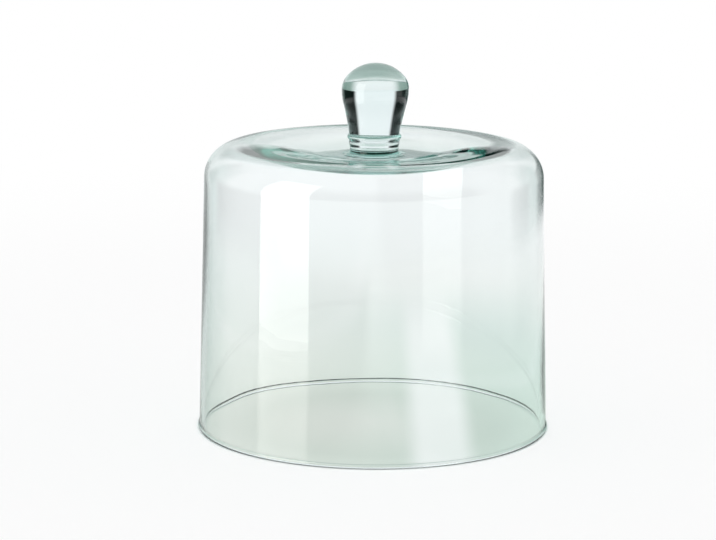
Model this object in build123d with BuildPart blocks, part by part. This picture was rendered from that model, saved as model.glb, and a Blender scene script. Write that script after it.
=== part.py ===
from build123d import *
import os
from math import asin, atan2, cos, degrees, hypot, radians, sin, tan

# Cake dome of hot-worked clear glass: a blown shell with a sunken crown, and on the crown a flared
# foot, a ring and a solid knob, each joined hot to the one below it.
# Millimetres. +Z is the axis of the dome, and the origin is the centre of the rim's resting face.

# Shell: rim and wall
rim_diameter = 230.0  # over the fire-polished bead
rim_height = 3.0  # of the bead, up the wall
rim_widest_z = 1.3  # where the bead is widest
rim_proud = 0.9  # how far the bead stands out from the wall
rim_face_width = 1.6  # flat ring that the dome stands on
wall_thickness = 3.0  # above the bead
wall_taper = 1.36  # degrees that the wall leans in towards the top

# Shell: shoulder and crown
body_height = 186.0  # rim to the highest ring of the crown
shoulder_radius = 20.6  # outside
shoulder_thickness = 1.6  # the wall thins out up to here
crown_thickness = 6.5  # in the middle
crown_dish = 6.0  # how far the middle of the crown is sunk
seat_margin = 1.2  # flat of the crown outside the foot, above and below

# Neck: foot and ring
joint_diameter = 32.6  # of the hot joints above and below the ring
foot_diameter = 40.6
foot_height = 7.3
foot_waist_diameter = 31.6
foot_waist_height = 3.4  # of the waist above the crown
foot_edge = 0.5  # upright edge of the foot on the crown
ring_height = 6.0
ring_proud = 1.2  # how far the ring's lip stands out from its joints
ring_lip_drop = 1.7  # from the upper joint down to the lip's widest ring
ring_lip_rise = 2.8  # height over which the ring widens to its lip

# Knob
knob_diameter = 43.4
knob_height = 45.9
knob_cap_flattening = 2.9  # how much larger the cap's radius is than the knob's
knob_side_radius = 13.0  # between the cap and the widest ring
knob_belly_radius = 35.5  # below the widest ring
knob_taper = 14.9  # degrees that the belly has turned in where the stem begins

# Heights of the seats, from the rim up
seat_z = body_height - crown_dish
ring_z = seat_z + foot_height
knob_z = ring_z + ring_height
knob_top_z = knob_z + knob_height

joint_radius = joint_diameter / 2
foot_radius = foot_diameter / 2
seat_radius = foot_radius + seat_margin


def double_bend(start, end, tangent):
    """Two equal arcs that leave start along tangent and come to end along it again."""
    middle = (Vector(start) + Vector(end)) / 2
    first = TangentArc(start, middle, tangent=tangent)
    TangentArc(first @ 1, end, tangent=first % 1)


# Dome shell: one turned section, from the resting face up the outside and back down the inside
rim_radius = rim_diameter / 2
outer_base = rim_radius - rim_proud
wall_lean = radians(wall_taper)
inner_base = outer_base - wall_thickness / cos(wall_lean)
face_middle = (inner_base + rim_radius) / 2
face_outer = face_middle + rim_face_width / 2
face_inner = face_middle - rim_face_width / 2

# Both shoulders turn about one centre below the ridge. The inner wall leans so as to run into its own.
shoulder_z = body_height - shoulder_radius
wall_top_z = shoulder_z + shoulder_radius * sin(wall_lean)
wall_top_radius = outer_base - (wall_top_z - rim_height) * tan(wall_lean)
ridge_radius = wall_top_radius - shoulder_radius * cos(wall_lean)
inner_shoulder_radius = shoulder_radius - shoulder_thickness
inner_across = inner_base - ridge_radius
inner_up = shoulder_z - rim_height
inner_taper = degrees(atan2(inner_across, inner_up)
                      - asin(inner_shoulder_radius / hypot(inner_across, inner_up)))
ceiling_z = seat_z - crown_thickness

with BuildPart() as dome_shell:
    with BuildSketch(Plane.XZ) as shell_section:
        with BuildLine() as shell_outline:
            Line((face_inner, 0), (face_outer, 0))
            TangentArc((rim_radius, rim_widest_z), (face_outer, 0), tangent=(0, -1))
            TangentArc((rim_radius, rim_widest_z), (outer_base, rim_height), tangent=(0, 1))
            outer_shoulder = CenterArc((ridge_radius, shoulder_z), shoulder_radius,
                                       wall_taper, 90 - wall_taper)
            Line((outer_base, rim_height), outer_shoulder @ 0)
            double_bend(outer_shoulder @ 1, (seat_radius, seat_z), (-1, 0))
            Polyline((seat_radius, seat_z), (0, seat_z), (0, ceiling_z), (seat_radius, ceiling_z))
            inner_shoulder = CenterArc((ridge_radius, shoulder_z), inner_shoulder_radius,
                                       inner_taper, 90 - inner_taper)
            inner_wall = Line((inner_base, rim_height), inner_shoulder @ 0)
            double_bend(inner_shoulder @ 1, (seat_radius, ceiling_z), (-1, 0))
            TangentArc((inner_base, rim_height), (face_inner, 0), tangent=-(inner_wall % 0))
        make_face()
    revolve(axis=Axis.Z)
dome_shell.part.label = "dome_shell"

# Foot: narrows from the lower hot joint to a waist, then flares out to its edge on the crown's seat
waist_z = seat_z + foot_waist_height
waist_radius = foot_waist_diameter / 2
foot_edge_z = seat_z + foot_edge

with BuildPart() as neck_foot:
    with BuildSketch(Plane.XZ) as foot_section:
        with BuildLine() as foot_outline:
            Polyline((joint_radius, ring_z), (0, ring_z), (0, seat_z), (foot_radius, seat_z),
                     (foot_radius, foot_edge_z))
            TangentArc((waist_radius, waist_z), (foot_radius, foot_edge_z), tangent=(0, -1))
            TangentArc((waist_radius, waist_z), (joint_radius, ring_z), tangent=(0, 1))
        make_face()
    revolve(axis=Axis.Z)
neck_foot.part.label = "neck_foot"

# Ring: a collar of glass between the foot and the knob, with a lip under the knob
lip_z = knob_z - ring_lip_drop
lip_start_z = lip_z - ring_lip_rise
lip_radius = joint_radius + ring_proud

with BuildPart() as neck_ring:
    with BuildSketch(Plane.XZ) as ring_section:
        with BuildLine() as ring_outline:
            Polyline((joint_radius, knob_z), (0, knob_z), (0, ring_z), (joint_radius, ring_z),
                     (joint_radius, lip_start_z))
            double_bend((joint_radius, lip_start_z), (lip_radius, lip_z), (0, 1))
            TangentArc((lip_radius, lip_z), (joint_radius, knob_z), tangent=(0, 1))
        make_face()
    revolve(axis=Axis.Z)
neck_ring.part.label = "neck_ring"

# Knob: a wide cap arc, a tighter side arc, a long belly arc, and a stem that curves in to the joint
cap_radius = knob_diameter / 2 + knob_cap_flattening
cap_angle = degrees(asin((knob_diameter / 2 - knob_side_radius) / (cap_radius - knob_side_radius)))

with BuildPart() as knob:
    with BuildSketch(Plane.XZ) as knob_section:
        with BuildLine() as knob_outline:
            cap = CenterArc((0, knob_top_z - cap_radius), cap_radius, 90, -cap_angle)
            side = JernArc(cap @ 1, cap % 1, knob_side_radius, cap_angle - 90)
            belly = JernArc(side @ 1, side % 1, knob_belly_radius, -knob_taper)
            TangentArc(belly @ 1, (joint_radius, knob_z), tangent=belly % 1)
            Polyline((joint_radius, knob_z), (0, knob_z), (0, knob_top_z))
        make_face()
    revolve(axis=Axis.Z)
knob.part.label = "knob"

os.makedirs("parts", exist_ok=True)
for piece in (dome_shell, neck_foot, neck_ring, knob):
    export_step(piece.part, f"parts/{piece.part.label}.step")
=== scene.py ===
from cmath import exp, phase
from math import acos, asin, ceil, cos, pi, radians, sin, tan, tau

import bpy
import numpy as np
from bpy.props import FloatProperty, FloatVectorProperty, IntProperty, PointerProperty
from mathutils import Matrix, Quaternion, Vector


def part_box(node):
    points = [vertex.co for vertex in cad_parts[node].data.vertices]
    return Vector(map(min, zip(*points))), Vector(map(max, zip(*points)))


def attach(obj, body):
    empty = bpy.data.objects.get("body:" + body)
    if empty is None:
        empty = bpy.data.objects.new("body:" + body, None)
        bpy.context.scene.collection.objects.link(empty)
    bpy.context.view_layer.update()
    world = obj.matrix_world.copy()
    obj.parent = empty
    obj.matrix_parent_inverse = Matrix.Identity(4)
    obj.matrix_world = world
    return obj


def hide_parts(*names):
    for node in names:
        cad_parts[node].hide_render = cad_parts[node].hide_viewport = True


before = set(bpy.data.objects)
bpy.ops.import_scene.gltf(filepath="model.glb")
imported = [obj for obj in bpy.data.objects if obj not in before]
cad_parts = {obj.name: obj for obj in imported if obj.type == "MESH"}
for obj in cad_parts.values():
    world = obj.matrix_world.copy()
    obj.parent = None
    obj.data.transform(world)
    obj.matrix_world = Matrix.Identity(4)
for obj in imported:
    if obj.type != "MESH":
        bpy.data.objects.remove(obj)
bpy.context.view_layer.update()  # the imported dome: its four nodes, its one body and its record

bl_info = {
    "name": "Glass Cake Dome",
    "version": (1, 0, 0),
    "blender": (4, 5, 0),
    "location": "3D View > Sidebar > Cake Dome",
    "description": "Builds a hand-blown glass cake dome and the studio that it is pictured in",
    "category": "Add Mesh",
}

MM = 0.001
IMAGE_WIDTH = 716  # pixels
TOLERANCE = 1e-6  # metres or radians that count as nothing
WHITE = (1, 1, 1, 1)
SMOOTH = {"interpolation_type": "SMOOTHSTEP"}  # settings of a node
RGBA = {"data_type": "RGBA"}

# Meshes of the glass
JOINT_GAP = 0.02 * MM  # air between the two faces of a hot joint, far too thin to show
WALL_STEP = 2.5 * MM  # between the rings of the straight wall
SHARP_BEND = radians(25)  # an outline that turns by more has a corner there

# Unevenness of blown glass: heights or radii where it begins and where it is full
WALL_RISE = (8 * MM, 38 * MM)
WALL_REACH = (80 * MM, 100 * MM)
CROWN_EDGE = (100 * MM, 85 * MM)
SEAT_FADE = 15 * MM  # outside the crown's seat, over which the ripples grow
# Its waves: share of the height, folds round the axis, radians a metre along the outline, and phase
WALL_WAVES = ((1.0, 2, 20.0, 0.0), (0.6, 5, -25.0, 1.0), (0.35, 9, 1 / 0.09, 2.0))
CROWN_WAVES = ((1.0, 2, tau / (26 * MM), 0.0), (0.5, 3, -tau / (17 * MM), 1.0))

# Rays of light, by how often they were mirrored or passed a face of glass
ONE_BOUNCE = 0.5  # more than this is once or more
SOLID_PIECE = 2.5  # fewer faces than this are those of one solid piece, and more are a wall's as well
GLASS_BOUNCES = 32  # that the render follows

# The room round the dome, in degrees. A bay is its heading from straight behind the dome to the right, half
# its width and its soft edge. A pair of rises above the horizon is where a tone begins and where it is full.
BACK_SCREEN = (0, 27, 4)
BACK_SCREEN_TOP = (35, 25)
SIDE_SCREENS = ((135, 20, 4), (-92, 18, 4))
SIDE_SCREEN_TOP = (19, 9)
CEILING_PANEL = (35, 45)
CORNERS = ((48, 14, 6), (-48, 14, 6))
LEFT_FLOOR = (-82, 34, 5)
RIGHT_FLOOR = (64, 11, 4)
RIGHT_FLOOR_LEVEL = 0.9  # how much of the right floor's tone shows
FLOOR_EDGE = (8, -7)
RIGHT_BACK = (24, 13, 4)
RIGHT_BACK_TOP = (8, 4)
CAMERA_SIDE = (180, 75, 15)
CAMERA_SIDE_FOOT = (0, 5)
CEILING_GLOW = (14, 52)
DIM_BACK = (0, 20, 8)
DIM_BACK_FOOT = (9.5, 11.5)
DIM_BACK_TOP = (53, 37)

# The paper, in metres from the dome's axis. A pair says where a thing begins and where it is full.
PAPER_RADIUS = 1.9
PAPER_STEPS = 128  # round its edge
PAPER_DROP = 0.1 * MM  # below the rim, so that the two faces don't meet
NEAR_PAPER = (0.5, 0.25)
RIGHT_SHADE = (-0.12, 0.12)  # across, with the right positive
LEFT_SHINE = (0.0, -0.06)  # across, with the right positive
LIGHT_STREAK_EDGE = (0.026, 0.010)  # from the middle of the streak
PAST_SIDES = (radians(20), radians(40))  # headings from straight behind the dome, to either side
PAST_SIDES_REACH = (0.15, 0.30)
OFF_FRONT = (radians(135), radians(115))  # headings from straight behind the dome, to either side
PAPER_END = (1.2, 1.8)
PAPER_END_SEEN = (0.4, 1.1)  # as the camera sees it
SWEEP_FADE = 0.8  # share of the sweep's reach where its end begins to fade
COATING_IOR = 1.5
COATING_ROUGHNESS = 0.08
# Painted sheen: share of light that the coating mirrors, from a steep look, at which the paper's colour is
# painted dark, to a flat one, at which it is painted pale
SHEEN = (0.045, 0.13)
WALL_SHEEN = (0.12, 0.19)  # in mirror images behind a wall

# The dark card, in metres to the right, and shares of its height with how much the card covers there
CARD_COLUMNS = (-0.11, -0.08, 0.09, 0.13)
CARD_ROWS = ((0.0, 0.0), (0.2, 1.0), (0.85, 1.0), (1.0, 0.0))
CARD_FADE = (-0.08, 0.0)  # from the pale left end to the dark

shell_low, shell_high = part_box("dome_shell")
foot_low, foot_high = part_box("neck_foot")
ring_low, ring_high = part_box("neck_ring")
knob_low, knob_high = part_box("knob")


def linear(hex_colour):
    """Linear RGB of an sRGB colour written as #rrggbb."""
    channels = [int(hex_colour[i:i + 2], 16) / 255 for i in (1, 3, 5)]
    return tuple(c / 12.92 if c <= 0.04045 else ((c + 0.055) / 1.055) ** 2.4 for c in channels)


def length(name, description, default):
    """A size or a place, in metres."""
    return FloatProperty(name=name, description=description, default=default, unit="LENGTH", precision=5)


def angle(name, description, default):
    """An angle, given here in degrees and kept in radians."""
    return FloatProperty(name=name, description=description, default=radians(default), subtype="ANGLE")


def number(name, description, default):
    """A plain number."""
    return FloatProperty(name=name, description=description, default=default, precision=4)


def colour(name, description, default):
    """A colour, given as sRGB hex and kept as linear RGB."""
    return FloatVectorProperty(name=name, description=description, default=linear(default),
                               subtype="COLOR", size=3, min=0, max=1)


class CAKEDOME_PG_shell(bpy.types.PropertyGroup):
    """Sizes of the blown shell"""
    rim_diameter: length("Rim diameter", "Over the fire-polished bead", shell_high.x - shell_low.x)
    rim_height: length("Bead height", "Height of the bead up the wall", 3.0 * MM)
    rim_widest: length("Bead widest at", "Height where the bead is widest", 1.3 * MM)
    rim_proud: length("Bead proud", "How far the bead stands out from the wall", 0.9 * MM)
    rim_face: length("Resting face", "Width of the flat ring that the dome stands on", 1.6 * MM)
    wall: length("Wall thickness", "Thickness of the wall above the bead", 3.0 * MM)
    top_wall: length("Shoulder thickness", "Of the shoulder, where the wall is blown thinnest", 1.6 * MM)
    taper: angle("Wall taper", "How far the wall leans in towards the top", 1.36)
    height: length("Height", "From the rim to the highest ring of the crown", shell_high.z)
    shoulder: length("Shoulder radius", "Outside radius between wall and crown", 20.6 * MM)
    crown: length("Crown thickness", "Thickness of the crown under the foot", 6.5 * MM)
    seat_margin: length("Seat margin", "Flat of the crown outside the foot", 1.2 * MM)
    segments: IntProperty(name="Segments", description="Steps round the axis", default=240, min=24)


class CAKEDOME_PG_neck(bpy.types.PropertyGroup):
    """Sizes of the foot and the ring between the crown and the knob"""
    seat_z: length("Seat height", "Height of the crown's seat", foot_low.z)
    ring_z: length("Ring height", "Height of the lower hot joint", ring_low.z)
    knob_z: length("Knob height", "Height of the upper hot joint", knob_low.z)
    foot_diameter: length("Foot diameter", "Over the foot's edge on the crown", foot_high.x - foot_low.x)
    foot_edge: length("Foot edge", "Height of the foot's upright edge", 0.5 * MM)
    waist_diameter: length("Waist diameter", "Where the foot is narrowest", 31.6 * MM)
    waist_height: length("Waist height", "Height of the waist above the crown", 3.4 * MM)
    ring_diameter: length("Ring diameter", "Over the ring's lip", ring_high.x - ring_low.x)
    ring_proud: length("Ring proud", "How far the ring's lip stands out from its joints", 1.2 * MM)
    lip_drop: length("Lip drop", "From the upper joint down to the lip's widest ring", 1.7 * MM)
    lip_rise: length("Lip rise", "Height over which the ring widens to its lip", 2.8 * MM)
    segments: IntProperty(name="Segments", description="Steps round the axis", default=192, min=24)


class CAKEDOME_PG_knob(bpy.types.PropertyGroup):
    """Sizes of the knob"""
    diameter: length("Diameter", "Where the knob is widest", knob_high.x - knob_low.x)
    top_z: length("Top height", "Height of the knob's top above the rim", knob_high.z)
    flattening: length("Cap flattening", "How much larger the cap's radius is than the knob's", 2.9 * MM)
    side: length("Side radius", "Radius between the cap and the widest ring", 13.0 * MM)
    belly: length("Belly radius", "Radius below the widest ring", 35.5 * MM)
    taper: angle("Taper", "How steeply the belly narrows into the stem", 14.9)
    lean: angle("Lean", "How far the knob leans to the side, as the hand left it", 1.0)
    segments: IntProperty(name="Segments", description="Steps round the axis", default=256, min=24)


class CAKEDOME_PG_glass(bpy.types.PropertyGroup):
    """Look of the glass"""
    ior: number("IOR", "Index of refraction of soda-lime glass", 1.52)
    shell_tint: colour("Shell tint", "What long paths in the blown glass let through", "#45d0c3")
    shell_density: number("Shell density", "Absorption per metre where the tint is black", 15.0)
    knob_tint: colour("Knob tint", "What long paths in the solid glass let through", "#7fe2d8")
    knob_density: number("Knob density", "Absorption per metre where the tint is black", 4.0)
    wall_waver: length("Wall unevenness", "How far the wall strays from true", 0.12 * MM)
    swell: length("Swell", "Height of the faint waves in the glass", 0.02 * MM)
    swell_round: length("Swell round", "Size of the waves round the axis", 60 * MM)
    swell_up: length("Swell up", "Size of the waves up the wall", 9 * MM)
    crown_swirl: length("Crown swirl", "Height of the spiral ripples in the crown", 0.07 * MM)


class CAKEDOME_PG_stage(bpy.types.PropertyGroup):
    """Camera, paper, room and light"""
    eye: FloatVectorProperty(name="Camera", description="Where the camera stands",
                             default=(0.0, -1.7872, 0.4638), subtype="TRANSLATION")
    aim: FloatVectorProperty(name="Aim", description="Where the camera points",
                             default=(-0.01012, 0.0, 0.10316), subtype="TRANSLATION")
    roll: angle("Roll", "How far the camera leans to its left", 0.29)
    focal: number("Focal length", "Of the lens, in pixels of the picture", 2789.6)
    floor_colour: colour("Floor", "Colour of the table as the camera sees it", "#fcfcfc")
    # Painted shade: the paper's colours inside, at and just outside the rim stand for the dome's shadow
    inside_shade_colour: colour("Paper inside", "Colour of the paper in the middle of the dome", "#eeece7")
    rim_shadow_colour: colour("Paper at the rim", "Colour of the paper inside the rim", "#e1e4dd")
    near_shadow_colour: colour("Paper outside", "Colour of the paper just outside the rim", "#f2f3ed")
    # Painted shade on the right of the paper
    right_shade_colour: colour("Paper on the right", "How much dimmer the paper is on the right", "#e6f2f0")
    # Painted light: a pale streak on the paper
    light_streak_x: length("Streak", "Where the pale streak lies, from the axis to the right", 0.044)
    light_streak_level: number("Streak level", "How pale the streak is", 0.75)
    shine: number("Paper shine", "How strongly the paper mirrors the softbox", 2.2)
    # Painted shade and light: the paper's colours farther out, painted paler with distance as the screens
    # light it
    sweep_shade_colour: colour("Paper near", "Colour of the paper 0.3 m away", "#f4f5f2")
    far_lit_colour: colour("Paper far", "Colour of the paper 0.7 m away", "#fdfeff")
    # Painted shade: the paper's colour where the glass shows it from above
    steep_shade_colour: colour("Paper from above", "Colour of the paper that the glass shows from above", "#8ba49b")
    sweep_reach: length("Sweep reach", "How far the lit paper reaches round the dome", 0.95)
    screen_colour: colour("Screen", "Colour of the lit screens", "#fafdff")
    ambient: number("Ambient", "Light of the room on the floor", 1.0)
    flag_colour: colour("Flags", "Colour of the black flags beside the dome", "#0d1412")
    room_colour: colour("Room", "Colour of the room as the glass mirrors it", "#e4ebea")
    side_colour: colour("Sides", "Colour of the room beside the dome, as the glass mirrors it", "#a9c0bb")
    edge_colour: colour("Beside the table", "Colour of the floor of the room beside the table", "#2c3f3b")
    back_colour: colour("Camera side", "Colour of the mirrored room behind the camera", "#222b29")
    inner_colour: colour("Dim back", "Colour of the dim back of the room", "#8fb0a8")
    card_colour: colour("Card", "Colour of the dark card behind the dome", "#0b2a25")
    # Painted light on the card's left end
    card_left_light_colour: colour("Card, left", "Colour of the card's left end", "#b9d2ca")
    card_y: length("Card place", "How far behind the axis the dark card hangs", 0.40)
    card_low: length("Card low", "Height of the card's lower edge", 0.216)
    card_high: length("Card high", "Height of the card's upper edge", 0.255)
    lamp_heading: angle("Softbox heading", "From the camera's side to the left", 55.5)
    lamp_distance: length("Softbox distance", "From the axis of the dome", 0.47)
    lamp_width: length("Softbox width", "Across", 0.285)
    lamp_height: length("Softbox height", "From the table up", 0.62)
    lamp_level: number("Softbox", "Light of the softbox", 2.1)
    lamp_colour: colour("Softbox colour", "Colour of its light", "#fffcf8")


class Section:
    """Half outline of a turned piece, as points r + z*1j, from the axis out and back to the axis."""

    step = 1.2 * MM  # the most between two points
    turn = radians(3)  # the most that an arc turns between two points

    def __init__(self, start):
        self.points = [start]
        self.heading = 1 + 0j  # of the last run

    def line_to(self, end, step=None):
        """Goes straight to end, with points a step apart or less."""
        start = self.points[-1]
        count = max(1, ceil(abs(end - start) / (step or self.step)))
        self.points += [start + (end - start) * (i + 1) / count for i in range(count)]
        self.heading = (end - start) / abs(end - start)
        return self

    def arc_to(self, end, heading=None):
        """Goes to end on the arc that leaves along heading, which is the last run's unless given."""
        start = self.points[-1]
        chord = end - start
        half = phase(chord / (heading or self.heading))
        if abs(half) < TOLERANCE:
            return self.line_to(end)
        count = ceil(max(abs(chord) * half / sin(half) / self.step, abs(2 * half) / self.turn))
        for i in range(1, count + 1):
            share = i / count
            self.points.append(start + chord * sin(half * share) / sin(half) * exp(1j * half * (share - 1)))
        self.heading = chord / abs(chord) * exp(1j * half)
        return self

    def arc_into(self, end, heading):
        """Goes to end on the arc that arrives there along heading."""
        chord = end - self.points[-1]
        return self.arc_to(end, chord * chord / abs(chord) ** 2 * abs(heading) / heading)


def shell_section(shell, neck):
    """The blown shell: its crown, shoulder, wall and bead outside, and the same faces inside."""
    lean = shell.taper
    rim_radius = shell.rim_diameter / 2
    outer_base = rim_radius - shell.rim_proud + shell.rim_height * 1j
    inner_base = outer_base - shell.wall / cos(lean)
    face_middle = (inner_base.real + rim_radius) / 2
    drop = shell.shoulder * (1 - sin(lean))
    outer_top = outer_base - (shell.height - drop - shell.rim_height) * (tan(lean) - 1j)
    centre = outer_top - shell.shoulder * exp(1j * lean)
    inner_shoulder = shell.shoulder - shell.top_wall
    to_base = inner_base - centre
    inner_turn = phase(to_base) + acos(inner_shoulder / abs(to_base))
    inner_top = centre + inner_shoulder * exp(1j * inner_turn)
    outer_seat = neck.foot_diameter / 2 + shell.seat_margin + neck.seat_z * 1j
    inner_seat = outer_seat - shell.crown * 1j
    outer_ridge = centre + shell.shoulder * 1j
    inner_ridge = centre + inner_shoulder * 1j

    section = Section(neck.seat_z * 1j)
    section.line_to(neck.foot_diameter / 2 + neck.seat_z * 1j)
    section.line_to(outer_seat)
    section.arc_to((outer_seat + outer_ridge) / 2).arc_to(outer_ridge)
    section.arc_to(outer_top)
    section.line_to(outer_base, WALL_STEP)
    section.arc_into(rim_radius + shell.rim_widest * 1j, -1j)
    section.arc_to(face_middle + shell.rim_face / 2 + 0j)
    section.line_to(face_middle - shell.rim_face / 2 + 0j)
    section.arc_into(inner_base, inner_top - inner_base)
    section.line_to(inner_top, WALL_STEP)
    section.arc_to(inner_ridge)
    section.arc_to((inner_seat + inner_ridge) / 2).arc_to(inner_seat)
    section.line_to(inner_seat.imag * 1j)
    return section.points


def foot_section(neck):
    """The flared pad of glass: from the lower hot joint in to its waist and out to its edge."""
    joint = neck.ring_diameter / 2 - neck.ring_proud
    foot = neck.foot_diameter / 2
    bottom = neck.seat_z + JOINT_GAP
    section = Section(neck.ring_z * 1j)
    section.line_to(joint + neck.ring_z * 1j)
    section.arc_into(neck.waist_diameter / 2 + (neck.seat_z + neck.waist_height) * 1j, -1j)
    section.arc_to(foot + (neck.seat_z + neck.foot_edge) * 1j)
    section.line_to(foot + bottom * 1j)
    section.line_to(bottom * 1j)
    return section.points


def ring_section(neck):
    """The collar of glass between foot and knob, with a lip under the knob."""
    joint = neck.ring_diameter / 2 - neck.ring_proud
    lip = neck.ring_diameter / 2 + (neck.knob_z - neck.lip_drop) * 1j
    neck_top = joint + (lip.imag - neck.lip_rise) * 1j
    bottom = neck.ring_z + JOINT_GAP
    section = Section(neck.knob_z * 1j)
    section.line_to(joint + neck.knob_z * 1j)
    section.arc_into(lip, -1j)
    section.arc_to((lip + neck_top) / 2).arc_to(neck_top)
    section.line_to(joint + bottom * 1j)
    section.line_to(bottom * 1j)
    return section.points


def knob_section(knob, neck):
    """The solid knob: a wide cap arc, a tighter side arc, a long belly arc and a hollow stem arc."""
    radius = knob.diameter / 2
    cap = radius + knob.flattening
    cap_angle = asin((radius - knob.side) / (cap - knob.side))
    cap_centre = (knob.top_z - cap) * 1j
    along = 1j * exp(-1j * cap_angle)
    widest = cap_centre + (cap - knob.side) * along + knob.side
    bottom = neck.knob_z + JOINT_GAP
    section = Section(knob.top_z * 1j)
    section.arc_to(cap_centre + cap * along)
    section.arc_to(widest)
    section.arc_to(widest - knob.belly + knob.belly * exp(-1j * knob.taper))
    section.arc_to(neck.ring_diameter / 2 - neck.ring_proud + bottom * 1j)
    section.line_to(bottom * 1j)
    return section.points


def stray_of_blown_glass(shell, neck, look):
    """A function of how far the shell strays from true: a waver in its wall and ripples in its crown."""
    seat = neck.foot_diameter / 2 + shell.seat_margin

    def grown(value, start, full):
        return np.clip((value - start) / (full - start), 0, 1)

    def stray(points, path, turns):
        r, z = points.real, points.imag
        wall = look.wall_waver * grown(z, *WALL_RISE) * grown(r, *WALL_REACH)
        crown = look.crown_swirl * grown(r, seat, seat + SEAT_FADE) * grown(r, *CROWN_EDGE)
        return sum(height * share * np.cos(folds * turns + drift * path + start)
                   for height, waves in ((wall, WALL_WAVES), (crown, CROWN_WAVES))
                   for share, folds, drift, start in waves)

    return stray


def at_hot_joint(start, end, joints):
    """Whether a run of an outline lies in the face of a hot joint."""
    flat = abs(end.imag - start.imag) < TOLERANCE
    reach = max(start.real, end.real)
    return flat and any(abs(start.imag - z) < 2 * JOINT_GAP and reach < r + TOLERANCE for z, r in joints)


def add_object(name, data):
    """Puts a mesh, a lamp or a camera into the scene."""
    thing = bpy.data.objects.new(name, data)
    bpy.context.scene.collection.objects.link(thing)
    return thing


def turned_piece(name, outline, segments, joints, stray=None):
    """Turns an outline about the axis into a closed mesh, and marks its hot joints and its corners."""
    outline = np.array(outline)
    turns = np.arange(segments) * tau / segments
    rings = np.repeat(outline[1:-1, None], segments, 1)
    if stray:
        tangent = outline[2:] - outline[:-2]
        normal = tangent * 1j / abs(tangent)
        path = np.cumsum(abs(np.diff(outline)))[:-1]
        rings = rings + stray(rings, path[:, None], turns) * normal[:, None]
    verts = np.stack([rings.real * np.cos(turns), rings.real * np.sin(turns), rings.imag], -1).reshape(-1, 3)
    poles = [(0, 0, outline[0].imag), (0, 0, outline[-1].imag)]
    first, last = len(verts), len(verts) + 1
    bottom = first - segments
    steps = [(i, (i + 1) % segments) for i in range(segments)]
    faces = [(first, a, b) for a, b in steps]
    for upper in range(0, bottom, segments):
        lower = upper + segments
        faces += [(upper + a, lower + a, lower + b, upper + b) for a, b in steps]
    faces += [(bottom + a, last, bottom + b) for a, b in steps]
    mesh = bpy.data.meshes.new(name)
    mesh.from_pydata(np.vstack([verts, poles]).tolist(), [], faces)
    mesh.shade_smooth()

    in_joint = [at_hot_joint(start, end, joints) for start, end in zip(outline, outline[1:])]
    marks = np.repeat(np.array(in_joint, np.float32), segments)
    mesh.attributes.new("hot_joint", "FLOAT", "FACE").data.foreach_set("value", marks)

    bend = np.angle((outline[2:] - outline[1:-1]) / (outline[1:-1] - outline[:-2]))
    corner = np.append(abs(bend) > SHARP_BEND, False)  # of each ring, and of the poles
    ends = np.zeros(len(mesh.edges) * 2, np.int32)
    mesh.edges.foreach_get("vertices", ends)
    ring, other_ring = ends.reshape(-1, 2).T // segments
    sharp = (ring == other_ring) & corner[ring]
    mesh.attributes.new("sharp_edge", "BOOLEAN", "EDGE").data.foreach_set("value", sharp)
    return add_object(name, mesh)


def add_node(tree, kind, inputs=None, **settings):
    """Adds a node with its settings, and sets its inputs or links them: a node by its first output in use."""
    node = tree.nodes.new(kind)
    for name, value in settings.items():
        setattr(node, name, value)
    for socket, value in (inputs or {}).items():
        if isinstance(value, bpy.types.Node):
            value = next(output for output in value.outputs if output.enabled)
        if isinstance(value, bpy.types.NodeSocket):
            tree.links.new(value, node.inputs[socket])
        else:
            node.inputs[socket].default_value = value
    return node


def between(pair):
    """Sockets of a range that runs from the first value to the second."""
    return dict(zip(("From Min", "From Max"), pair))


def bare_material(name):
    """A material that has no nodes yet."""
    material = bpy.data.materials.new(name)
    material.use_nodes = True
    material.node_tree.nodes.clear()
    return material


def mirrored_ray(tree):
    """1 for a ray that glass has mirrored on its way, and 0 for any other."""
    rays = add_node(tree, "ShaderNodeLightPath")
    return add_node(tree, "ShaderNodeMath", {0: rays.outputs["Glossy Depth"], 1: ONE_BOUNCE},
                    operation="GREATER_THAN")


def soda_glass(name, look, tint, density):
    """Soda-lime glass, worked hot and fire-polished: clear, mirror smooth, and green where it is thick."""
    material = bare_material(name)
    tree = material.node_tree
    # A hot joint has no surface inside, so light goes straight on there, as at an IOR of 1
    joint = add_node(tree, "ShaderNodeAttribute", attribute_name="hot_joint")
    bend = add_node(tree, "ShaderNodeMapRange", {
        "Value": joint.outputs["Fac"], "To Min": look.ior, "To Max": 1.0})
    # Blown glass is a little wavy: drawn out round the axis, with a swell every few millimetres up the wall
    place = add_node(tree, "ShaderNodeTexCoord")
    scale = (1 / look.swell_round, 1 / look.swell_round, 1 / look.swell_up)
    drawn = add_node(tree, "ShaderNodeVectorMath", {0: place.outputs["Object"], 1: scale},
                     operation="MULTIPLY")
    waves = add_node(tree, "ShaderNodeTexNoise", {"Vector": drawn, "Scale": 1.0, "Detail": 2.0})
    skin = add_node(tree, "ShaderNodeBump", {"Height": waves, "Distance": look.swell, "Strength": 1.0})
    glass = add_node(tree, "ShaderNodeBsdfPrincipled", {
        "Base Color": WHITE, "Roughness": 0.0, "IOR": bend, "Transmission Weight": 1.0, "Normal": skin})
    depth = add_node(tree, "ShaderNodeVolumeAbsorption", {"Color": (*tint, 1), "Density": density})
    add_node(tree, "ShaderNodeOutputMaterial", {"Surface": glass, "Volume": depth})
    return material


def finish_piece(piece, node, material):
    """Gives a glass piece its material and its place in the frame."""
    piece.data.materials.append(material)
    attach(piece, "root")
    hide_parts(node)


def hot_joints(neck):
    """Height and radius of each hot joint."""
    joint = neck.ring_diameter / 2 - neck.ring_proud
    return [(neck.seat_z, neck.foot_diameter / 2), (neck.ring_z, joint), (neck.knob_z, joint)]


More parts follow.
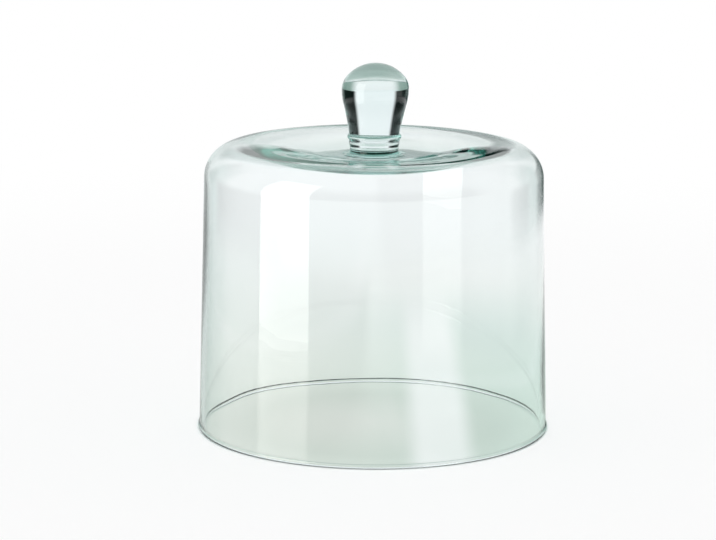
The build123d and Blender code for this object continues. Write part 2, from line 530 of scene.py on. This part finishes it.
class CAKEDOME_OT_shell(bpy.types.Operator):
    """Blow the shell"""
    bl_idname = "cakedome.shell"
    bl_label = "Blown shell"

    def execute(self, context):
        scene = context.scene
        shell, neck, look = scene.cakedome_shell, scene.cakedome_neck, scene.cakedome_glass
        piece = turned_piece("blown_shell", shell_section(shell, neck), shell.segments, hot_joints(neck),
                             stray_of_blown_glass(shell, neck, look))
        finish_piece(piece, "dome_shell", soda_glass(
            "soda_lime_glass_blown", look, look.shell_tint, look.shell_density))
        return {"FINISHED"}


class CAKEDOME_OT_foot(bpy.types.Operator):
    """Drop the flared foot on the crown"""
    bl_idname = "cakedome.foot"
    bl_label = "Flared foot"

    def execute(self, context):
        scene = context.scene
        neck, look = scene.cakedome_neck, scene.cakedome_glass
        piece = turned_piece("flared_foot", foot_section(neck), neck.segments, hot_joints(neck))
        finish_piece(piece, "neck_foot", soda_glass(
            "soda_lime_glass_pressed_pad", look, look.knob_tint, look.knob_density))
        return {"FINISHED"}


class CAKEDOME_OT_ring(bpy.types.Operator):
    """Put the ring on the foot"""
    bl_idname = "cakedome.ring"
    bl_label = "Neck ring"

    def execute(self, context):
        scene = context.scene
        neck, look = scene.cakedome_neck, scene.cakedome_glass
        piece = turned_piece("bead_ring", ring_section(neck), neck.segments, hot_joints(neck))
        finish_piece(piece, "neck_ring", soda_glass(
            "soda_lime_glass_wound_ring", look, look.knob_tint, look.knob_density))
        return {"FINISHED"}


class CAKEDOME_OT_knob(bpy.types.Operator):
    """Put the solid knob on the ring"""
    bl_idname = "cakedome.knob"
    bl_label = "Solid knob"

    def execute(self, context):
        scene = context.scene
        knob, neck, look = scene.cakedome_knob, scene.cakedome_neck, scene.cakedome_glass
        piece = turned_piece("solid_knob", knob_section(knob, neck), knob.segments, hot_joints(neck))
        for vert in piece.data.vertices:
            vert.co.x += tan(knob.lean) * (vert.co.z - neck.knob_z - JOINT_GAP)
        finish_piece(piece, "knob", soda_glass(
            "soda_lime_glass_solid_gather", look, look.knob_tint, look.knob_density))
        return {"FINISHED"}


def studio_world(stage):
    """A white room, with tones of its own for what the glass refracts and for what it mirrors."""
    world = bpy.data.worlds.new("studio_room")
    world.use_nodes = True
    tree = world.node_tree
    tree.nodes.clear()
    coords = add_node(tree, "ShaderNodeTexCoord")
    axes = add_node(tree, "ShaderNodeSeparateXYZ", {0: coords.outputs["Generated"]})
    heading = add_node(tree, "ShaderNodeMath", {0: axes.outputs["X"], 1: axes.outputs["Y"]},
                       operation="ARCTAN2")
    rise = add_node(tree, "ShaderNodeMath", {0: axes.outputs["Z"]}, operation="ARCSINE")
    rays = add_node(tree, "ShaderNodeLightPath")

    def painted(under, tone, rises=None, bay=None, cover=1.0):
        """Paints a tone over another, between two rises and within a bay where they are given."""
        if rises:
            cover = add_node(tree, "ShaderNodeMapRange", {
                "Value": rise, **between(map(radians, rises)), "To Max": cover}, **SMOOTH)
        if bay:
            middle, half, soft = map(radians, bay)
            offset = add_node(tree, "ShaderNodeMath", {0: heading, 1: middle}, operation="SUBTRACT")
            wrapped = add_node(tree, "ShaderNodeMath", {0: offset, 1: pi, 2: -pi}, operation="WRAP")
            away = add_node(tree, "ShaderNodeMath", {0: wrapped}, operation="ABSOLUTE")
            cover = add_node(tree, "ShaderNodeMapRange", {
                "Value": away, **between((half + soft, half - soft)), "To Max": cover}, **SMOOTH)
        return add_node(tree, "ShaderNodeMix", {0: cover, 6: under, 7: tone}, **RGBA)

    # Refracted: black flags, with lit screens behind and beside the dome and a panel in the ceiling
    screen = (*stage.screen_colour, 1)
    refracted = painted((*stage.flag_colour, 1), screen, CEILING_PANEL)
    refracted = painted(refracted, screen, BACK_SCREEN_TOP, BACK_SCREEN)
    for bay in SIDE_SCREENS:
        refracted = painted(refracted, screen, SIDE_SCREEN_TOP, bay)

    # Mirrored: a pale room, with dimmer corners. Beside the table its floor shows, which is dark.
    mirrored = (*stage.room_colour, 1)
    for bay in CORNERS:
        mirrored = painted(mirrored, (*stage.side_colour, 1), bay=bay)
    floor = (*stage.edge_colour, 1)
    mirrored = painted(mirrored, floor, FLOOR_EDGE, LEFT_FLOOR)
    mirrored = painted(mirrored, floor, FLOOR_EDGE, RIGHT_FLOOR, RIGHT_FLOOR_LEVEL)
    mirrored = painted(mirrored, floor, RIGHT_BACK_TOP, RIGHT_BACK)
    mirrored = painted(mirrored, (*stage.back_colour, 1), CAMERA_SIDE_FOOT, CAMERA_SIDE)
    mirrored = painted(mirrored, screen, CEILING_GLOW)
    # Light that is mirrored inside the glass comes from higher up, where the back of the room is dim
    inside = add_node(tree, "ShaderNodeMath", {0: rays.outputs["Transmission Depth"], 1: ONE_BOUNCE},
                      operation="GREATER_THAN")
    below_top = add_node(tree, "ShaderNodeMapRange", {
        "Value": rise, **between(map(radians, DIM_BACK_TOP)), "To Max": inside}, **SMOOTH)
    mirrored = painted(mirrored, (*stage.inner_colour, 1), DIM_BACK_FOOT, DIM_BACK, below_top)

    # The camera sees the room white, and the floor is lit by it as by a white one
    seen = add_node(tree, "ShaderNodeMix", {0: mirrored_ray(tree), 6: refracted, 7: mirrored}, **RGBA)
    seen = add_node(tree, "ShaderNodeMix", {0: rays.outputs["Is Camera Ray"], 6: seen, 7: WHITE}, **RGBA)
    ambient = (stage.ambient, stage.ambient, stage.ambient, 1)
    tone = add_node(tree, "ShaderNodeMix", {0: rays.outputs["Diffuse Depth"], 6: seen, 7: ambient}, **RGBA)
    background = add_node(tree, "ShaderNodeBackground", {"Color": tone})
    add_node(tree, "ShaderNodeOutputWorld", {"Surface": background})
    return world


def coated_paper(stage):
    """Coated white paper, cast smooth: white and matt to the camera, with a painted sheen at a flat look and
    painted shade and light where the glass shows it.
    """
    material = bare_material("coated_white_paper")
    tree = material.node_tree
    rays = add_node(tree, "ShaderNodeLightPath")
    by_camera = rays.outputs["Is Camera Ray"]
    faces = rays.outputs["Transmission Depth"]
    by_mirror = mirrored_ray(tree)
    place = add_node(tree, "ShaderNodeNewGeometry")
    reach = add_node(tree, "ShaderNodeVectorMath", {0: place.outputs["Position"]}, operation="LENGTH")
    axes = add_node(tree, "ShaderNodeSeparateXYZ", {0: place.outputs["Position"]})
    across = axes.outputs["X"]
    heading = add_node(tree, "ShaderNodeMath", {0: across, 1: axes.outputs["Y"]}, operation="ARCTAN2")
    turned = add_node(tree, "ShaderNodeMath", {0: heading}, operation="ABSOLUTE")

    # Painted shade and light: to the glass the paper's colour is painted dimmest round the rim, as the dome's
    # shadow, and palest far behind, as where the screen lights it.
    # Each tone has its distance from the axis, in metres.
    tones = add_node(tree, "ShaderNodeValToRGB", {0: reach})
    stops = tones.color_ramp.elements
    stops.remove(stops[-1])
    stops[0].color = (*stage.inside_shade_colour, 1)
    for spot, tone in ((0.08, stage.rim_shadow_colour), (0.14, stage.near_shadow_colour),
                       (0.30, stage.sweep_shade_colour), (0.70, stage.far_lit_colour)):
        stops.new(spot).color = (*tone, 1)

    # Painted shade: the paper is painted dimmer on the right of the dome, as if the softbox lit it from the
    # left
    near = add_node(tree, "ShaderNodeMapRange", {"Value": reach, **between(NEAR_PAPER)}, **SMOOTH)
    shade = add_node(tree, "ShaderNodeMapRange", {
        "Value": across, **between(RIGHT_SHADE), "To Max": near}, **SMOOTH)
    lit = add_node(tree, "ShaderNodeMix", {0: shade, 6: tones, 7: (*stage.right_shade_colour, 1)},
                   blend_type="MULTIPLY", **RGBA)

    # Painted light: a pale streak, as of light that passes through the dome, is painted on the paper
    off_streak = add_node(tree, "ShaderNodeMath", {0: across, 1: stage.light_streak_x}, operation="SUBTRACT")
    beside = add_node(tree, "ShaderNodeMath", {0: off_streak}, operation="ABSOLUTE")
    streak = add_node(tree, "ShaderNodeMapRange", {
        "Value": beside, **between(LIGHT_STREAK_EDGE), "To Max": stage.light_streak_level}, **SMOOTH)
    near_streak = add_node(tree, "ShaderNodeMath", {0: streak, 1: near}, operation="MULTIPLY")
    light_streaked = add_node(tree, "ShaderNodeMix", {0: near_streak, 6: lit, 7: WHITE}, **RGBA)

    # Painted sheen: the paper's colour is painted paler at a flat look, by the Fresnel of its coating, and
    # darker from a steep one. In mirror images behind a wall it is painted dark sooner, but not of the front.
    coating = add_node(tree, "ShaderNodeFresnel", {"IOR": COATING_IOR})
    behind_wall = add_node(tree, "ShaderNodeMath", {0: faces, 1: SOLID_PIECE}, operation="GREATER_THAN")
    off_front = add_node(tree, "ShaderNodeMapRange", {
        "Value": turned, **between(OFF_FRONT), "To Max": behind_wall}, **SMOOTH)
    beyond = add_node(tree, "ShaderNodeMath", {0: by_mirror, 1: off_front}, operation="MULTIPLY")
    dark_at, pale_at = (add_node(tree, "ShaderNodeMix", {0: beyond, 2: usual, 3: changed})
                        for usual, changed in zip(SHEEN, WALL_SHEEN))
    flat = add_node(tree, "ShaderNodeMapRange", {"Value": coating, **between((dark_at, pale_at))})

    # Painted shade: past the sides the paper is painted in its dark tone from above, as a dim room there,
    # where the solid knob refracts it
    solid = add_node(tree, "ShaderNodeMath", {0: faces, 1: SOLID_PIECE}, operation="LESS_THAN")
    refracted = add_node(tree, "ShaderNodeMath", {0: solid, 1: by_mirror},
                         operation="SUBTRACT", use_clamp=True)
    away = add_node(tree, "ShaderNodeMapRange", {
        "Value": reach, **between(PAST_SIDES_REACH), "To Max": refracted}, **SMOOTH)
    past_sides = add_node(tree, "ShaderNodeMapRange", {
        "Value": turned, **between(PAST_SIDES), "To Max": away}, **SMOOTH)
    pale = add_node(tree, "ShaderNodeMix", {0: past_sides, 2: flat, 3: 0.0})

    # Painted shade: from a steep look the paper is painted dark, and in mirror images as dark as the flags
    steep = add_node(tree, "ShaderNodeMix", {
        0: by_mirror, 6: (*stage.steep_shade_colour, 1), 7: (*stage.flag_colour, 1)}, **RGBA)
    shown = add_node(tree, "ShaderNodeMix", {0: pale, 6: steep, 7: light_streaked}, **RGBA)
    tone = add_node(tree, "ShaderNodeMix", {0: by_camera, 6: shown, 7: (*stage.floor_colour, 1)}, **RGBA)
    matt = add_node(tree, "ShaderNodeBsdfDiffuse", {"Color": tone})

    # On the left the coating mirrors the softbox
    left = add_node(tree, "ShaderNodeMapRange", {
        "Value": across, **between(LEFT_SHINE), "To Max": stage.shine})
    glare = add_node(tree, "ShaderNodeMath", {0: coating, 1: by_mirror}, operation="MULTIPLY")
    shine = add_node(tree, "ShaderNodeMath", {0: glare, 1: left}, operation="MULTIPLY", use_clamp=True)
    gloss = add_node(tree, "ShaderNodeBsdfGlossy", {"Roughness": COATING_ROUGHNESS})
    coated = add_node(tree, "ShaderNodeMixShader", {0: shine, 1: matt, 2: gloss})

    # Far from the dome the paper glows, as white as the room to the camera, and to the glass in the screens'
    # tone, with painted shade past the sides; in mirror images it ends
    start, end = (add_node(tree, "ShaderNodeMix", {0: by_camera, 2: usual, 3: seen})
                  for usual, seen in zip(PAPER_END, PAPER_END_SEEN))
    far = add_node(tree, "ShaderNodeMapRange", {"Value": reach, **between((start, end))}, **SMOOTH)
    screens = add_node(tree, "ShaderNodeMix", {
        0: past_sides, 6: (*stage.screen_colour, 1), 7: (*stage.steep_shade_colour, 1)}, **RGBA)
    room = add_node(tree, "ShaderNodeMix", {0: by_camera, 6: screens, 7: WHITE}, **RGBA)
    glow = add_node(tree, "ShaderNodeEmission", {"Color": room})
    faded = add_node(tree, "ShaderNodeMixShader", {0: far, 1: coated, 2: glow})
    ends = add_node(tree, "ShaderNodeMapRange", {
        "Value": reach, **between((SWEEP_FADE * stage.sweep_reach, stage.sweep_reach)), "To Max": by_mirror},
        **SMOOTH)
    clear = add_node(tree, "ShaderNodeBsdfTransparent")
    sheet = add_node(tree, "ShaderNodeMixShader", {0: ends, 1: faded, 2: clear})
    add_node(tree, "ShaderNodeOutputMaterial", {"Surface": sheet})
    return material


def paper_sweep(stage):
    """A round sheet of white paper under the dome."""
    mesh = bpy.data.meshes.new("paper_sweep")
    turns = [tau * i / PAPER_STEPS for i in range(PAPER_STEPS)]
    verts = [(PAPER_RADIUS * cos(turn), PAPER_RADIUS * sin(turn), -PAPER_DROP) for turn in turns]
    mesh.from_pydata(verts, [], [list(range(PAPER_STEPS))])
    mesh.materials.append(coated_paper(stage))
    paper = add_object("paper_sweep", mesh)


def matt_card(stage):
    """Matt black card, dyed through: an even dark tone that ends softly, with painted light on its left end.
    """
    material = bare_material("matt_black_card")
    tree = material.node_tree
    place = add_node(tree, "ShaderNodeNewGeometry")
    axes = add_node(tree, "ShaderNodeSeparateXYZ", {0: place.outputs["Position"]})
    across = add_node(tree, "ShaderNodeMapRange", {
        "Value": axes.outputs["X"], **between(CARD_FADE)}, **SMOOTH)
    tone = add_node(tree, "ShaderNodeMix", {
        0: across, 6: (*stage.card_left_light_colour, 1), 7: (*stage.card_colour, 1)}, **RGBA)
    # The card glows with the tone that it shows in the studio, its painted light and shade, so no lamp has to
    # light it
    paint = add_node(tree, "ShaderNodeEmission", {"Color": tone})
    clear = add_node(tree, "ShaderNodeBsdfTransparent")
    cover = add_node(tree, "ShaderNodeAttribute", attribute_name="cover")
    soft = add_node(tree, "ShaderNodeMixShader", {0: cover.outputs["Fac"], 1: clear, 2: paint})
    add_node(tree, "ShaderNodeOutputMaterial", {"Surface": soft})
    return material


def dark_card(stage):
    """A dark card that hangs behind the dome, where only the sunken crown mirrors it."""
    mesh = bpy.data.meshes.new("dark_card")
    height = stage.card_high - stage.card_low
    rows = len(CARD_ROWS)
    verts = [(x, stage.card_y, stage.card_low + share * height)
             for x in CARD_COLUMNS for share, _ in CARD_ROWS]
    ends = (CARD_COLUMNS[0], CARD_COLUMNS[-1])
    covers = [0.0 if x in ends else cover for x in CARD_COLUMNS for _, cover in CARD_ROWS]
    corners = [i * rows + j for i in range(len(CARD_COLUMNS) - 1) for j in range(rows - 1)]
    mesh.from_pydata(verts, [], [(k, k + rows, k + rows + 1, k + 1) for k in corners])
    mesh.attributes.new("cover", "FLOAT", "POINT").data.foreach_set("value", covers)
    mesh.materials.append(matt_card(stage))
    card = add_object("dark_card", mesh)
    card.visible_camera = False
    card.visible_diffuse = False
    card.visible_transmission = False
    card.visible_shadow = False


def softbox(stage):
    """A softbox that stands on the table and lays a bright strip on the wall."""
    lamp = bpy.data.lights.new("tall_softbox", "AREA")
    lamp.shape = "RECTANGLE"
    lamp.size = stage.lamp_width
    lamp.size_y = stage.lamp_height
    lamp.energy = stage.lamp_level * pi * stage.lamp_width * stage.lamp_height
    lamp.color = stage.lamp_colour
    # Only what the glass mirrors shows the lamp, as if it stood out of the way of every other look
    lamp.use_nodes = True
    tree = lamp.node_tree
    tree.links.new(mirrored_ray(tree).outputs[0], tree.nodes["Emission"].inputs["Strength"])
    box = add_object("tall_softbox", lamp)
    outward = Vector((-sin(stage.lamp_heading), -cos(stage.lamp_heading), 0))
    box.location = outward * stage.lamp_distance
    box.location.z = stage.lamp_height / 2
    box.rotation_mode = "QUATERNION"
    box.rotation_quaternion = outward.to_track_quat("Z", "Y")
    box.visible_camera = False
    box.visible_diffuse = False


def studio_camera(stage):
    """The camera at the picture's own place."""
    lens = bpy.data.cameras.new("camera")
    lens.lens = stage.focal * lens.sensor_width / IMAGE_WIDTH
    camera = add_object("camera", lens)
    camera.location = stage.eye
    look = Vector(stage.aim) - Vector(stage.eye)
    camera.rotation_mode = "QUATERNION"
    camera.rotation_quaternion = look.to_track_quat("-Z", "Y") @ Quaternion((0, 0, 1), stage.roll)
    bpy.context.scene.camera = camera


class CAKEDOME_OT_stage(bpy.types.Operator):
    """Set up the room, the paper, the dark card, the softbox and the camera"""
    bl_idname = "cakedome.stage"
    bl_label = "Studio"

    def execute(self, context):
        scene = context.scene
        stage = scene.cakedome_stage
        scene.world = studio_world(stage)
        paper_sweep(stage)
        dark_card(stage)
        softbox(stage)
        studio_camera(stage)
        scene.view_settings.view_transform = "Standard"
        scene.cycles.max_bounces = GLASS_BOUNCES
        scene.cycles.transmission_bounces = GLASS_BOUNCES
        scene.cycles.glossy_bounces = GLASS_BOUNCES
        scene.cycles.blur_glossy = 0.0
        return {"FINISHED"}


class CAKEDOME_PT_panel(bpy.types.Panel):
    """Builds the dome and its studio piece by piece"""
    bl_idname = "CAKEDOME_PT_panel"
    bl_label = "Cake Dome"
    bl_space_type = "VIEW_3D"
    bl_region_type = "UI"
    bl_category = "Cake Dome"

    def draw(self, context):
        for operator in operators:
            self.layout.operator(operator.bl_idname)


groups = {
    "cakedome_shell": CAKEDOME_PG_shell,
    "cakedome_neck": CAKEDOME_PG_neck,
    "cakedome_knob": CAKEDOME_PG_knob,
    "cakedome_glass": CAKEDOME_PG_glass,
    "cakedome_stage": CAKEDOME_PG_stage,
}
operators = (CAKEDOME_OT_shell, CAKEDOME_OT_foot, CAKEDOME_OT_ring, CAKEDOME_OT_knob, CAKEDOME_OT_stage)


def register():
    """Adds the classes, and their values to the scene."""
    for cls in (*groups.values(), *operators, CAKEDOME_PT_panel):
        bpy.utils.register_class(cls)
    for name, group in groups.items():
        setattr(bpy.types.Scene, name, PointerProperty(type=group))


def unregister():
    """Takes the values and the classes away again."""
    for name in groups:
        delattr(bpy.types.Scene, name)
    for cls in (CAKEDOME_PT_panel, *reversed(operators), *reversed(groups.values())):
        bpy.utils.unregister_class(cls)


def main():
    """Builds the dome and its studio."""
    register()
    bpy.ops.cakedome.shell()
    bpy.ops.cakedome.foot()
    bpy.ops.cakedome.ring()
    bpy.ops.cakedome.knob()
    bpy.ops.cakedome.stage()


if __name__ == "__main__":
    main()
